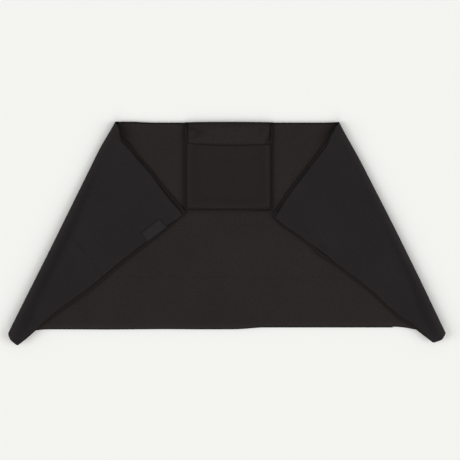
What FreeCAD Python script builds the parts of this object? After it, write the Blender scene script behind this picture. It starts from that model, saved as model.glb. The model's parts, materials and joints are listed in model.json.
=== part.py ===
import FreeCAD, Part
import math
import os
import re
import Sketcher

# Film changing bag: a flat two-walled cloth bag, open at both ends, lying on its back with each end
# folded in over the front on a slanting line. Each wall is an outer shell and an inner lining.
# Frame: X along the bag, Y across it towards the top edge, Z up, origin under the middle, mm.

doc = FreeCAD.newDocument("film_changing_bag")

SIZES = {
    # outline of the folded bag, measured to the outside of the folds
    "fold_top": 226.0,  # from the middle to where a fold starts on the top edge
    "fold_angle": 26.2,  # between a fold and the Y axis, degrees
    "end_depth": 231.0,  # from a fold to the open end, along the top edge
    "end_mouth": 430.0,  # along the hem of an open end
    "side_height": 424.0,  # top edge to the low end of a fold
    "middle_height": 412.0,  # top edge to the straight part of the bottom edge
    "bottom_straight": 330.0,  # half the straight part of the bottom edge
    # layers
    "shell_cloth": 0.8,
    "lining_cloth": 0.5,
    "lap_gap": 0.4,  # between the front and an end folded over it
    "fold_clear": 0.3,  # from a layer's edge to the fold's axis
    "roll_trim": 5.0,  # from the ends of the fold line to the ends of the rolled bend
    # seams and hems
    "seam_width": 10.0,
    "seam_inset": 1.0,
    "hem_width": 11.0,
    "hem_cloth": 0.8,
    # pocket on the front
    "pocket_width": 170.0,
    "pocket_drop": 173.0,  # top edge of the bag to the pocket's bottom seam
    "mouth_drop": 43.0,  # top edge of the bag to the pocket's mouth
    "pocket_cloth": 0.6,
    "pocket_clear": 0.3,
    "pocket_seam": 4.0,
    "mouth_hem": 29.0,
    # woven label on the left end
    "label_length": 49.0,
    "label_width": 23.4,
    "label_cloth": 0.4,
    "label_along": 48.0,  # from the end's corner, along the hem
    "label_in": 1.5,  # from the hem's edge
    # zips
    "zip_length": 420.0,
    "outer_zip_y": -36.0,
    "inner_zip_y": 14.0,
    "slot_clear": 1.5,  # from a slider's side to the edge of its slot
    "tape_width": 13.0,
    "tape_cloth": 0.3,
    "coil_width": 2.0,
    "coil_height": 1.0,
    "coil_gap": 1.1,  # between the two rows
    "stop_length": 3.0,
    "slider_length": 12.0,
    "slider_width": 9.0,
    "slider_plate": 0.4,
    "slider_clear": 0.12,  # from a slider's plates to the tapes and rows
    "lining_clear": 0.28,  # from a slider to the next lining
    "slider_post": 0.5,
    "post_length": 3.0,
    "slider_rest": 8.0,  # from the zip's left end to the slider's end, when closed
    "pull_length": 30.0,
    "pull_width": 5.0,
    "pull_plate": 0.45,
    "pull_gap": 0.5,  # from a slider's end to its pull tab's pin
    "ear_length": 1.0,
    "ear_width": 0.9,
    "ear_height": 0.62,
    "ear_clear": 0.15,
    "pin_radius": 0.17,
    "pin_clear": 0.03,
    "pull_hole": 2.6,
    # sleeves inside the ends
    "sleeve_width": 150.0,
    "sleeve_length": 110.0,
    "sleeve_along": 110.0,  # from the end's corner to the sleeve's middle, along the hem
    "sleeve_set_back": 14.0,  # from the hem's edge
    "sleeve_clear": 0.25,  # from a sleeve's elastic to the linings
    "sleeve_cloth": 0.3,
    "cuff_width": 16.0,
    "cuff_cloth": 0.25,
}

sheet = doc.addObject("Spreadsheet::Sheet", "Sizes")
for row, (alias, value) in enumerate(SIZES.items(), start=1):
    sheet.set(f"A{row}", alias)
    sheet.set(f"B{row}", str(value))
    sheet.setAlias(f"B{row}", alias)
doc.recompute()


def size(text):
    """A sum of sizes as an expression: each alias in the text is looked up in the sheet."""
    return re.sub(r"[a-z_]+", lambda word: f"Sizes.{word[0]}" if word[0] in SIZES else word[0], text)


def number(text):
    """What a sum of sizes comes to now."""
    return float(sheet.evalExpression(size(text)))


# Heights of the layers in the middle of the bag, from the back up; a zip takes the room between two
ZIP_ROOM = "(tape_cloth + coil_height + slider_clear + slider_plate + lining_clear)"
BACK_LINING_Z = f"(shell_cloth + {ZIP_ROOM})"
FRONT_LINING_Z = f"({BACK_LINING_Z} + lining_cloth + {ZIP_ROOM})"
FRONT_SHELL_Z = f"({FRONT_LINING_Z} + lining_cloth)"
FRONT_Z = f"({FRONT_SHELL_Z} + shell_cloth)"
AXIS_Z = f"({FRONT_Z} + lap_gap / 2)"

# Outline: the fold lines, and the corners of an end that is folded in, for the right side
TURN = "(2 * fold_angle)"
TOP_Y = f"((end_depth * sin({TURN}) + end_mouth * cos({TURN})) / 2)"
FOLD_IN = f"(({AXIS_Z} + fold_clear) / cos(fold_angle))"
FOLD_LOW_X = "(fold_top + side_height * tan(fold_angle))"
FOLD_LOW_Y = f"({TOP_Y} - side_height)"
BOTTOM_Y = f"({TOP_Y} - middle_height)"
CORNER_X = f"(fold_top - end_depth * cos({TURN}))"
CORNER_Y = f"({TOP_Y} - end_depth * sin({TURN}))"
TIP_X = f"({CORNER_X} + end_mouth * sin({TURN}))"
TIP_Y = f"({CORNER_Y} - end_mouth * cos({TURN}))"

SLOT_WIDTH = "(slider_width + 2 * slot_clear)"
SLEEVE_HEIGHT = f"({ZIP_ROOM} - 2 * sleeve_clear - 2 * cuff_cloth)"

MIDDLE_OUTLINE = [
    (f"fold_top - {FOLD_IN}", TOP_Y),
    (f"{FOLD_LOW_X} - {FOLD_IN}", FOLD_LOW_Y),
    ("bottom_straight", BOTTOM_Y),
    ("-bottom_straight", BOTTOM_Y),
    (f"{FOLD_IN} - {FOLD_LOW_X}", FOLD_LOW_Y),
    (f"{FOLD_IN} - fold_top", TOP_Y),
]
END_OUTLINE = [
    (f"fold_top - {FOLD_IN} * cos({TURN})", f"{TOP_Y} - {FOLD_IN} * sin({TURN})"),
    (CORNER_X, CORNER_Y),
    (TIP_X, TIP_Y),
    (f"{FOLD_LOW_X} - {FOLD_IN} * cos({TURN})", f"{FOLD_LOW_Y} - {FOLD_IN} * sin({TURN})"),
]
SIDES = {"left": "-1", "right": "1"}

nodes = []


def bind(thing, **sums):
    """Ties properties to sums of sizes; two underscores in a keyword stand for a dot."""
    for key, text in sums.items():
        thing.setExpression(key.replace("__", "."), size(text))


def add_loop(sketch, corners):
    """A closed run of lines whose corners are held by sums of sizes."""
    first = sketch.GeometryCount
    count = len(corners)
    points = [FreeCAD.Vector(number(across), number(up), 0) for across, up in corners]
    for turn in range(count):
        sketch.addGeometry(Part.LineSegment(points[turn], points[(turn + 1) % count]))
    for turn in range(count):
        after = first + (turn + 1) % count
        sketch.addConstraint(Sketcher.Constraint("Coincident", first + turn, 2, after, 1))
    for turn, (across, up) in enumerate(corners):
        for kind, text, start in (("DistanceX", across, points[turn].x), ("DistanceY", up, points[turn].y)):
            held = sketch.addConstraint(Sketcher.Constraint(kind, -1, 1, first + turn, 1, start))
            sketch.setExpression(f"Constraints[{held}]", size(text))


def sketched_body(name, plane_role):
    """A new body with one sketch on an origin plane."""
    body = doc.addObject("PartDesign::Body", name)
    sketch = body.newObject("Sketcher::SketchObject", f"{name}_outline")
    plane = [part for part in body.Origin.OriginFeatures if part.Role == plane_role][0]
    sketch.AttachmentSupport = [(plane, "")]
    sketch.MapMode = "FlatFace"
    return body, sketch


def padded(body, sketch, length):
    """Pads the body's sketch by a sum of sizes."""
    pad = body.newObject("PartDesign::Pad", f"{body.Name}_pad")
    pad.Profile = sketch
    bind(pad, Length=length)


def layer(name, outline, bottom, thickness, slots=()):
    """One flat piece: an outline, with slots in it, padded up from its underside."""
    body, sketch = sketched_body(name, "XY_Plane")
    for corners in (outline, *slots):
        add_loop(sketch, corners)
    padded(body, sketch, thickness)
    bind(body, Placement__Base__z=bottom)
    nodes.append(body)


def rectangle(middle_x, middle_y, length, width):
    """Corners of a rectangle about its middle."""
    left, right = f"{middle_x} - {length} / 2", f"{middle_x} + {length} / 2"
    low, high = f"{middle_y} - {width} / 2", f"{middle_y} + {width} / 2"
    return [(left, low), (right, low), (right, high), (left, high)]


def box(name, corner, span):
    """A block from its low corner, for use in a boolean or as it is."""
    block = doc.addObject("Part::Box", name)
    bind(block, Length=span[0], Width=span[1], Height=span[2])
    bind(block, Placement__Base__x=corner[0], Placement__Base__y=corner[1], Placement__Base__z=corner[2])
    return block


def joined(kind, name, blocks):
    """A Part boolean or compound of blocks, kept as a node."""
    result = doc.addObject(kind, name)
    if kind == "Part::Cut":
        result.Base, result.Tool = blocks
    elif kind == "Part::Compound":
        result.Links = blocks
    else:
        result.Shapes = blocks
    nodes.append(result)
    return result


def mirrored(outline, sign):
    """An outline with X times the sign of its side."""
    return [(f"{sign} * ({across})", up) for across, up in outline]


def folded(bottom, thickness):
    """Underside of a layer that lies upside down in a folded end."""
    return f"(2 * {AXIS_Z} - {bottom} - {thickness})"


LAYERS = {
    "back_shell": ("0", "shell_cloth"),
    "back_lining": (BACK_LINING_Z, "lining_cloth"),
    "front_lining": (FRONT_LINING_Z, "lining_cloth"),
    "front_shell": (FRONT_SHELL_Z, "shell_cloth"),
}


def make_middle():
    """The four layers between the folds; the two back layers have the slots that the zips close."""
    for name, (bottom, thickness) in LAYERS.items():
        zip_y = {"back_shell": "outer_zip_y", "back_lining": "inner_zip_y"}.get(name)
        slots = [rectangle("0", zip_y, "zip_length", SLOT_WIDTH)] if zip_y else []
        layer(f"middle_{name}", MIDDLE_OUTLINE, bottom, thickness, slots)
    for name, edge in (("top_seam_binding", f"{TOP_Y} - seam_inset - seam_width / 2"),
                       ("bottom_seam_binding", f"{BOTTOM_Y} + seam_inset + seam_width / 2")):
        half = "fold_top - 2 * seam_width" if "top" in name else "bottom_straight"
        outline = rectangle("0", edge, f"2 * ({half})", "seam_width")
        layer(name, outline, "shell_cloth", ZIP_ROOM)


def make_end(side):
    """One folded-in end: its four layers, its hem, and the rolled bend that ties it to the middle."""
    sign = SIDES[side]
    for name, (bottom, thickness) in LAYERS.items():
        layer(f"{side}_end_{name}", mirrored(END_OUTLINE, sign), folded(bottom, thickness), thickness)
    make_fold_roll(side)
    make_end_hem(side)
    make_sleeve(side)


def add_half_ring(sketch, outside, inside):
    """Half a ring about the origin, on the side where X is positive."""
    arcs = []
    for radius in (outside, inside):
        circle = Part.Circle(FreeCAD.Vector(), FreeCAD.Vector(0, 0, 1), number(radius))
        arc = sketch.addGeometry(Part.ArcOfCircle(circle, -math.pi / 2, math.pi / 2))
        sketch.addConstraint(Sketcher.Constraint("Coincident", arc, 3, -1, 1))
        held = sketch.addConstraint(Sketcher.Constraint("Radius", arc, number(radius)))
        sketch.setExpression(f"Constraints[{held}]", size(radius))
        for end in (1, 2):
            sketch.addConstraint(Sketcher.Constraint("PointOnObject", arc, end, -2))
        arcs.append(arc)
    for end in (1, 2):
        line = sketch.addGeometry(Part.LineSegment(*[sketch.getPoint(arc, end) for arc in arcs]))
        sketch.addConstraint(Sketcher.Constraint("Coincident", line, 1, arcs[0], end))
        sketch.addConstraint(Sketcher.Constraint("Coincident", line, 2, arcs[1], end))


def make_fold_roll(side):
    """The bend of the four layers about the fold's axis: four half tubes, one inside the next."""
    bends = []
    for name, (bottom, thickness) in LAYERS.items():
        body, sketch = sketched_body(f"{side}_{name}_bend", "XZ_Plane")
        add_half_ring(sketch, f"{AXIS_Z} - {bottom}", f"{AXIS_Z} - {bottom} - {thickness}")
        padded(body, sketch, "side_height / cos(fold_angle) - 2 * roll_trim")
        bends.append(body)
    roll = joined("Part::Compound", f"{side}_fold_roll", bends)
    # The pads run along -Y: down the fold on the right side, and up the fold on the left side.
    inward_x, inward_y = f"{AXIS_Z} * cos(fold_angle)", f"{AXIS_Z} * sin(fold_angle)"
    trim_x, trim_y = "roll_trim * sin(fold_angle)", "roll_trim * cos(fold_angle)"
    if side == "right":
        start_x, start_y = f"fold_top - {inward_x} + {trim_x}", f"{TOP_Y} - {inward_y} - {trim_y}"
    else:
        start_x, start_y = f"{inward_x} + {trim_x} - {FOLD_LOW_X}", f"{FOLD_LOW_Y} - {inward_y} + {trim_y}"
    turn = "fold_angle" if side == "right" else "180 - fold_angle"
    bind(roll, Placement__Base__x=start_x, Placement__Base__y=start_y, Placement__Base__z=AXIS_Z,
         Placement__Rotation__Angle=turn)


def make_end_hem(side):
    """The doubled strip inside the open end's hem, under the outer face of the folded end."""
    bottom = folded("shell_cloth", "hem_cloth")
    along = "(end_mouth - 2 * seam_width)"
    start = "seam_width" if side == "left" else f"-{along} - seam_width"
    strip = box(f"{side}_end_hem", ("0", "0", bottom), ("hem_width", along, "hem_cloth"))
    place_on_end(strip, side, "seam_inset", start, bottom)
    nodes.append(strip)


def place_on_end(block, side, inward, along, bottom):
    """Lays a block on a folded end: inward from the hem's edge, and along the hem from its corner."""
    sign = SIDES[side]
    turn = f"180 - {TURN}" if side == "left" else TURN
    spin_x, spin_y = f"cos({turn})", f"sin({turn})"
    bind(
        block,
        Placement__Base__x=f"{sign} * {CORNER_X} + ({inward}) * {spin_x} - ({along}) * {spin_y}",
        Placement__Base__y=f"{CORNER_Y} + ({inward}) * {spin_y} + ({along}) * {spin_x}",
        Placement__Base__z=bottom,
        Placement__Rotation__Angle=turn,
    )


def make_sleeve(side):
    """A flattened sleeve inside the end, with a band of elastic round its far end."""
    middle = folded(f"({BACK_LINING_Z} + lining_cloth)", ZIP_ROOM) + f" + {ZIP_ROOM} / 2"
    make_ring(side, f"{side}_sleeve", "sleeve_set_back", "sleeve_length", "sleeve_width",
              SLEEVE_HEIGHT, "sleeve_cloth", middle)
    band = "sleeve_set_back + sleeve_length - cuff_width"
    make_ring(side, f"{side}_cuff_elastic", band, "cuff_width", "(sleeve_width + 2 * cuff_cloth)",
              f"({SLEEVE_HEIGHT} + 2 * cuff_cloth)", "cuff_cloth", middle)


def make_ring(side, name, inward, depth, width, height, wall, middle):
    """A flat tube, open at both ends, lying inside a folded end."""
    parts = []
    for part, less in (("outside", "0"), ("inside", wall)):
        block = doc.addObject("Part::Box", f"{name}_{part}")
        tall = f"({height} - 2 * {less})"
        wide = f"({width} - 2 * {less})"
        bind(block, Length=depth, Width=wide, Height=tall)
        start = f"sleeve_along - {wide} / 2" if side == "left" else f"-sleeve_along - {wide} / 2"
        place_on_end(block, side, inward, start, f"{middle} - {tall} / 2")
        parts.append(block)
    joined("Part::Cut", name, parts)


def make_label():
    """The plain woven label sewn on the left end, its long side along the hem."""
    bottom = f"2 * {AXIS_Z}"
    label = box("woven_label", ("0", "0", bottom), ("label_width", "label_length", "label_cloth"))
    place_on_end(label, "left", "label_in", "label_along", bottom)
    nodes.append(label)


def make_pocket():
    """The patch pocket on the front: a back, a front with a turned mouth, and its sewn edges."""
    middle_y = f"({TOP_Y} - pocket_drop / 2)"
    back = rectangle("0", middle_y, "pocket_width", "pocket_drop")
    layer("pocket_back", back, FRONT_Z, "pocket_cloth")
    panel_z = f"({FRONT_Z} + 2 * pocket_cloth + pocket_clear)"
    panel_width = "(pocket_width - 2 * pocket_seam - 2 * pocket_clear)"
    panel_low = f"({TOP_Y} - pocket_drop + pocket_seam + pocket_clear)"
    panel_high = f"({TOP_Y} - mouth_drop)"
    front = rectangle("0", f"(({panel_low} + {panel_high}) / 2)", panel_width, f"({panel_high} - {panel_low})")
    layer("pocket_front", front, panel_z, "pocket_cloth")
    hem = rectangle("0", f"({panel_high} - mouth_hem / 2)", panel_width, "mouth_hem")
    layer("pocket_mouth_hem", hem, f"{panel_z} - pocket_cloth", "pocket_cloth")
    seam_height = "(2 * pocket_cloth + pocket_clear)"
    for name, sign in SIDES.items():
        edge = f"({sign} * (pocket_width - pocket_seam) / 2)"
        strip = rectangle(edge, f"(({TOP_Y} - pocket_drop + {panel_high}) / 2)", "pocket_seam",
                          "(pocket_drop - mouth_drop)")
        layer(f"pocket_{name}_seam", strip, f"{FRONT_Z} + pocket_cloth", seam_height)
    strip = rectangle("0", f"({TOP_Y} - pocket_drop + pocket_seam / 2)", "(pocket_width - 2 * pocket_seam)",
                      "pocket_seam")
    layer("pocket_bottom_seam", strip, f"{FRONT_Z} + pocket_cloth", seam_height)


def make_zip(name, zip_y, cloth_bottom, cloth):
    """One coil zip behind the slot in its layer: two tapes, two rows, two stops and a slider."""
    tape_z = f"({cloth_bottom} + {cloth})"
    coil_z = f"({tape_z} + tape_cloth)"
    left = "-(zip_length / 2)"
    for row, sign in (("upper", "1"), ("lower", "-1")):
        tape_y = f"({zip_y} + {sign} * (coil_gap + tape_width) / 2)"
        layer(f"{name}_{row}_tape", rectangle("0", tape_y, "(zip_length + 20)", "tape_width"), tape_z, "tape_cloth")
        coil_y = f"({zip_y} + {sign} * (coil_gap + coil_width) / 2)"
        layer(f"{name}_{row}_coil", rectangle("0", coil_y, "(zip_length - 2 * stop_length)", "coil_width"),
              coil_z, "coil_height")
    ends = []
    for place, start in (("left", left), ("right", "zip_length / 2 - stop_length")):
        ends.append(box(f"{name}_{place}_stop", (start, f"{zip_y} - coil_gap / 2 - coil_width", coil_z),
                        ("stop_length", "(coil_gap + 2 * coil_width)", "coil_height")))
    joined("Part::Compound", f"{name}_stops", ends)
    make_slider(name, zip_y, tape_z, coil_z)


def cross_bar(name, middle, radius, length):
    """A round bar along Y about its middle."""
    bar = doc.addObject("Part::Cylinder", name)
    bind(bar, Radius=radius, Height=length, Placement__Base__x=middle[0],
         Placement__Base__y=f"{middle[1]} + {length} / 2", Placement__Base__z=middle[2])
    bar.Placement.Rotation = FreeCAD.Rotation(FreeCAD.Vector(1, 0, 0), 90)
    return bar


def make_slider(name, zip_y, tape_z, coil_z):
    """Two plates held by a post that runs between the rows, with two ears that hold the pull tab's pin."""
    start = "(slider_rest - zip_length / 2)"
    low_z = f"({tape_z} - slider_clear - slider_plate)"
    high_z = f"({coil_z} + coil_height + slider_clear)"
    side_y = f"{zip_y} - slider_width / 2"
    plate = ("slider_length", "slider_width", "slider_plate")
    lower = box(f"{name}_outside_plate", (start, side_y, low_z), plate)
    upper = box(f"{name}_inside_plate", (start, side_y, high_z), plate)
    post = box(f"{name}_post", (start, f"{zip_y} - slider_post / 2", low_z),
               ("post_length", "slider_post", f"({high_z} - {low_z})"))
    ear_top = f"({tape_z} - slider_clear)"
    ears = []
    for place, ear_y in (("near", f"{zip_y} - pull_width / 2 - ear_clear - ear_width"),
                         ("far", f"{zip_y} + pull_width / 2 + ear_clear")):
        ears.append(box(f"{name}_{place}_ear", (f"{start} + slider_length", ear_y, f"{ear_top} - ear_height"),
                        ("ear_length", "ear_width", "ear_height")))
    blank = doc.addObject("Part::MultiFuse", f"{name}_slider_blank")
    blank.Shapes = [lower, upper, post, *ears]
    pin_middle = (f"({start} + slider_length + pull_gap)", zip_y, f"({ear_top} - ear_height / 2)")
    pin_length = "(pull_width + 2 * ear_clear + 2 * ear_width)"
    bore = cross_bar(f"{name}_pin_bore", pin_middle, "(pin_radius + pin_clear)", pin_length)
    joined("Part::Cut", f"{name}_slider", [blank, bore])
    make_pull_tab(name, pin_middle, pin_length)


def make_pull_tab(name, pin_middle, pin_length):
    """A flat tab in line with the slot, on a pin across its inner end, with a round hole at the other."""
    pin_x, zip_y, pin_z = pin_middle
    bottom = f"{pin_z} - pull_plate / 2"
    strip = box(f"{name}_tab_strip", (pin_x, f"{zip_y} - pull_width / 2", bottom),
                ("pull_length", "pull_width", "pull_plate"))
    pin = cross_bar(f"{name}_tab_pin", pin_middle, "pin_radius", pin_length)
    blank = doc.addObject("Part::MultiFuse", f"{name}_tab_blank")
    blank.Shapes = [strip, pin]
    hole = doc.addObject("Part::Cylinder", f"{name}_tab_hole")
    bind(hole, Radius="pull_hole / 2", Height="2 * pull_plate",
         Placement__Base__x=f"{pin_x} + pull_length - pull_width / 2", Placement__Base__y=zip_y,
         Placement__Base__z=f"{bottom} - pull_plate / 2")
    joined("Part::Cut", f"{name}_pull_tab", [blank, hole])


def check_and_write():
    """Stops on any failed object or bad shape, then writes one STEP file for each node."""
    doc.recompute()
    for thing in doc.Objects:
        if {"Invalid", "Error"} & set(thing.State):
            raise RuntimeError(f"{thing.Label} failed: {thing.State}")
    os.makedirs("parts", exist_ok=True)
    for node in nodes:
        if node.Shape.isNull() or not node.Shape.isValid() or not node.Shape.Solids:
            raise RuntimeError(f"{node.Label} has no good solid")
        node.Shape.exportStep(f"parts/{node.Label}.step")
        print(f"{node.Label}: {len(node.Shape.Solids)} solids, {node.Shape.Volume:.1f} mm3")
    print(f"{len(nodes)} nodes")


make_middle()
for side_name in SIDES:
    make_end(side_name)
make_label()
make_pocket()
make_zip("outer_zip", "outer_zip_y", "0", "shell_cloth")
make_zip("inner_zip", "inner_zip_y", BACK_LINING_Z, "lining_cloth")
check_and_write()
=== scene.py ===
"""Looks of a film changing bag that lies on its back with both ends folded in over the front."""

import json
import math

import bmesh
import bpy
import numpy as np
from bpy.props import FloatProperty, FloatVectorProperty, PointerProperty
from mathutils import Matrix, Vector


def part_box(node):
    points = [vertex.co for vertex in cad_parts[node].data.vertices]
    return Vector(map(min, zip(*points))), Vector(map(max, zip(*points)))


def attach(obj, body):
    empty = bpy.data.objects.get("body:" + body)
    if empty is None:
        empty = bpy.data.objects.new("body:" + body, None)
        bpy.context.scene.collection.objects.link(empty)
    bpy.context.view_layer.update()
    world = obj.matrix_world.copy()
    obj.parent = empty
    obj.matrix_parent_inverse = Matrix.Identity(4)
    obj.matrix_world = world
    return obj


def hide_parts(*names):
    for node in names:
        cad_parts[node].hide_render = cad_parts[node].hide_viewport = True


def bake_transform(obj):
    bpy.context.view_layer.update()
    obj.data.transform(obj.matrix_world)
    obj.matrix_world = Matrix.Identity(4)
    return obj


bl_info = {
    "name": "Film changing bag",
    "version": (1, 0, 0),
    "blender": (4, 5, 0),
    "location": "View3D > Sidebar > Bag",
    "description": "Cloth, seams, pocket, label and zips of a folded film changing bag",
    "category": "Object",
}

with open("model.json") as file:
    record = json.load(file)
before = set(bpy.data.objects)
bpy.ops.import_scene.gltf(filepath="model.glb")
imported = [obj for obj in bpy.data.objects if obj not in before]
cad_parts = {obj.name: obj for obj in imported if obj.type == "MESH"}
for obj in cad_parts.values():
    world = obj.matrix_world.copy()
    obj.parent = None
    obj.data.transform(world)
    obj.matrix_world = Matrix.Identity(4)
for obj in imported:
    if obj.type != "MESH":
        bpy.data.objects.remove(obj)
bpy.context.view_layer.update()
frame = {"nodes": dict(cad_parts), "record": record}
MM = 0.001
JOINTS = {joint["name"]: joint for joint in frame["record"]["behaviour"]["joints"]}
SIGNS = {"left": -1, "right": 1}


def box_mm(node):
    """Lowest and highest corner of a CAD node, in millimetres."""
    return [np.array(corner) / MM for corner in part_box(node)]


def height_mm(node):
    """Height of the middle of a CAD node's thickness, in millimetres."""
    low, high = box_mm(node)
    return (low[2] + high[2]) / 2


# ------------------------------------------------------------------ plan of the folded cloth, mm


class Plan:
    """Outline and folds in millimetres: x outward from the middle, v down from the top edge."""

    hinge = JOINTS["right_end_fold"]
    axis_x, axis_y, axis_z = (value / MM for value in hinge["pos_m"])
    angle = math.asin(abs(hinge["axis"][0]))
    cos, sin = math.cos(angle), math.sin(angle)
    slope = sin / cos
    roll = axis_z
    top = box_mm("middle_front_shell")[1][1]
    fold_top = axis_x + roll * cos - (top - axis_y - roll * sin) * slope
    corner_in = fold_top - box_mm("right_end_front_shell")[0][0]
    half_length = fold_top + corner_in / math.cos(2 * angle)
    mouth_drop = top - corner_in * math.tan(2 * angle) - box_mm("right_end_front_shell")[0][1]
    mouth = mouth_drop / math.cos(2 * angle)
    binding_gap = 1.0
    middle_depth = top - box_mm("bottom_seam_binding")[0][1] + binding_gap
    fold_depth = top - box_mm("middle_front_shell")[0][1]
    straight = box_mm("bottom_seam_binding")[1][0]
    tape_end = 10
    slot_end = box_mm("outer_zip_upper_tape")[1][0] - tape_end
    fold_low = fold_top + fold_depth * slope
    table_ply = height_mm("middle_back_shell")
    slack = 0.25
    front_ply = height_mm("middle_front_shell") - slack
    folded_ply = 2 * axis_z - height_mm("middle_front_shell")
    face = 2 * axis_z - table_ply
    seam_low, seam_high = 3.1, 3.7


def smooth(value, low, high):
    """0 below low, 1 above high, and a soft step between."""
    share = np.clip((value - low) / (high - low), 0, 1)
    return share * share * (3 - 2 * share)


def hump(value, middle, width):
    """A soft hump of height 1."""
    return np.exp(-(((value - middle) / width) ** 2))


def pillow(distance, width):
    """Height share of a turned edge: 0 at the edge, and round up to 1 over a width."""
    share = np.clip(distance / width, 0, 1)
    return np.sqrt(np.clip(1 - (1 - share) ** 2, 0, 1))


def nearest(*distances):
    """The smallest distance, rounded where two are alike, so that corners turn softly."""
    total = sum(np.clip(distance, 0.01, None) ** -4.0 for distance in distances)
    return total**-0.25


def lie(shape, value):
    """How cloth departs from its pattern: steps (start, stop, size) and humps (middle, width, size), mm."""
    steps, humps = shape
    total = np.zeros_like(value)
    for start, stop, size in steps:
        total = total + size * smooth(value, start, stop)
    for middle, width, size in humps:
        total = total + size * hump(value, middle, width)
    return total


def ripple(x, y, seed, shortest=70.0, longest=240.0, count=14):
    """Unevenness of cloth smoothed by hand: long low waves of many directions, about -1 to 1."""
    random = np.random.default_rng(seed)
    total = np.zeros_like(x)
    for _ in range(count):
        length = random.uniform(shortest, longest)
        turn = random.uniform(0, math.pi)
        shift = random.uniform(0, 2 * math.pi)
        total += np.sin((x * math.cos(turn) + y * math.sin(turn)) * 2 * math.pi / length + shift)
    return total / math.sqrt(count) / 1.4


# How each side was laid by hand, in mm. A pair holds steps (start, stop, size) and humps (middle, width,
# size). Positions count from the fold outward along the top edge, from the top edge down along the mouth,
# from the bag's middle along the bottom edge, and from the top along the fold and its valley. "strip" is
# how far the lower ply shows beyond the upper one, and a dent is (x, v, depth).
# Three values of each side size painted light and shade: the shade in a sharp crease, the highlight on the
# fold's roll and the shade in its valley.
LAID = {
    "left": {
        "top_set_back": (
            ((8, 45, 4.6), (75, 130, -3.3), (150, 231, -3.7)),
            ((34, 12, 4.0), (-30, 30, -1.8)),
        ),
        "top_strip": (((30, 45, 4.6), (120, 200, 2.6)), ()),
        "mouth_reach": (((0, 40, 2.2), (360, 410, 1.6)), ((240, 60, 3.0), (340, 30, -0.8))),
        "mouth_strip": (((0, 40, 5.4), (300, 390, -5.4)), ()),
        "mouth_wave": ((), ((240, 60, 1.6), (330, 30, 0.8))),
        "fold_out": (((-5, 60, 4.7), (250, 400, 1.3)), ()),
        "bottom_out": (((100, 260, 2.2), (350, 380, -1.4)), ((40, 160, 2.2),)),
        "tip_out": 0.5,
        "valley_place": (((90, 220, 8.5),), ((15, 18, 15.0),)),
        "valley_start": 8.5,
        "corner_depth": -2.5,
        "rest": 0.8,
        "crease_shade": 0.14,
        "valley_grows": (60, 200),
        "roll_highlight": 0.0,
        "valley_shade": 0.17,
        "dents": (),
    },
    "right": {
        "top_set_back": (((0, 20, 0.3), (170, 231, 4.5)), ((46, 9, 2.6),)),
        "top_strip": (((40, 60, 5.0),), ()),
        "mouth_reach": (
            ((-20, 0, 2.4), (250, 300, 3.4)),
            ((33, 24, 2.8), (127, 14, 3.0), (333, 20, 2.2)),
        ),
        "mouth_strip": (
            ((-5, 10, 2.6), (385, 412, -2.6)),
            ((128, 20, 5.0), (215, 40, 2.0), (350, 22, 2.5)),
        ),
        "mouth_wave": ((), ((128, 26, 3.6), (334, 30, 2.0))),
        "fold_out": (((-40, -1, -3.6), (0, 90, 4.6), (60, 230, 2.4), (300, 420, -1.4)), ()),
        "bottom_out": (((-10, -1, 2.1), (5, 100, -5.2), (330, 375, 3.1)), ()),
        "tip_out": 3.0,
        "valley_place": (((90, 200, 3.0), (330, 400, 5.0)), ((28, 16, 14.0),)),
        "valley_start": 10.0,
        "corner_depth": -14.5,
        "rest": 0.0,
        "crease_shade": 0.0,
        "valley_grows": (190, 310),
        "roll_highlight": 0.26,
        "valley_shade": 0.09,
        "dents": ((444, 121, 1.0), (441, 77, 0.7)),
    },
}


def rounding(x, end, corner):
    """How far a rounded corner of the cloth falls short of a square one."""
    over = np.clip(x - (end - corner), 0, corner)
    return corner - np.sqrt(np.clip(corner**2 - over**2, 0, None))


def mouth_line(v, side, ply):
    """Where the open end's hem lies. Ply is 0 for the lower ply and 1 for the upper one."""
    laid = LAID[side]
    return Plan.half_length + lie(laid["mouth_reach"], v) - lie(laid["mouth_strip"], v) * ply


def top_line(x, side, ply):
    """Where the top edge lies, down from the bag's top line."""
    laid, out = LAID[side], x - Plan.fold_top
    end = mouth_line(np.zeros_like(x), side, ply)
    corner = 3.0
    drop = 0.8 * (1 - smooth(out, -30, -5)) + rounding(x, end, corner)
    return drop + lie(laid["top_set_back"], out) + lie(laid["top_strip"], out) * ply


def bottom_line(x, side, ply):
    """Where the bottom edge lies, down from the bag's top line."""
    laid = LAID[side]
    wave = lie(laid["bottom_out"], x) * (1 - smooth(x, Plan.straight + 30, Plan.straight + 90))
    flare = (Plan.fold_depth - Plan.middle_depth) * smooth(x, Plan.straight + 20, Plan.fold_low + 5)
    corner_depth = Plan.mouth + laid["corner_depth"]
    end = mouth_line(np.full_like(x, corner_depth), side, ply)
    share = np.clip((x - Plan.fold_low) / (end - Plan.fold_low), 0, 1)
    depth = Plan.middle_depth + wave + flare + (corner_depth - Plan.fold_depth) * share
    depth = depth - 3.8 * hump(x, Plan.fold_low, 7) + laid["tip_out"] * hump(x, Plan.fold_low + 15, 8)
    corner = 4.0
    return depth - rounding(x, end, corner)


def fold_place(x, v):
    """Distance past the fold line, and along it from the top, on the flat cloth."""
    past = (x - Plan.fold_top) * Plan.cos - v * Plan.sin
    along = (x - Plan.fold_top) * Plan.sin + v * Plan.cos
    return past, along


def rim_distance(x, v, side, ply):
    """How far in a point lies from the top edge, the mouth and the bottom edge."""
    return nearest(v - top_line(x, side, ply), mouth_line(v, side, ply) - x, bottom_line(x, side, ply) - v)


def hem_distance(x, v, side, ply, past):
    """The same on a folded end, whose seams lose their roundness where they near the fold."""
    return rim_distance(x, v, side, ply) + 14 * (1 - smooth(past, 4, 18))


def valley_line(along, side):
    """How far past the fold the valley beside its roll lies."""
    return LAID[side]["valley_start"] + lie(LAID[side]["valley_place"], along)


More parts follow.
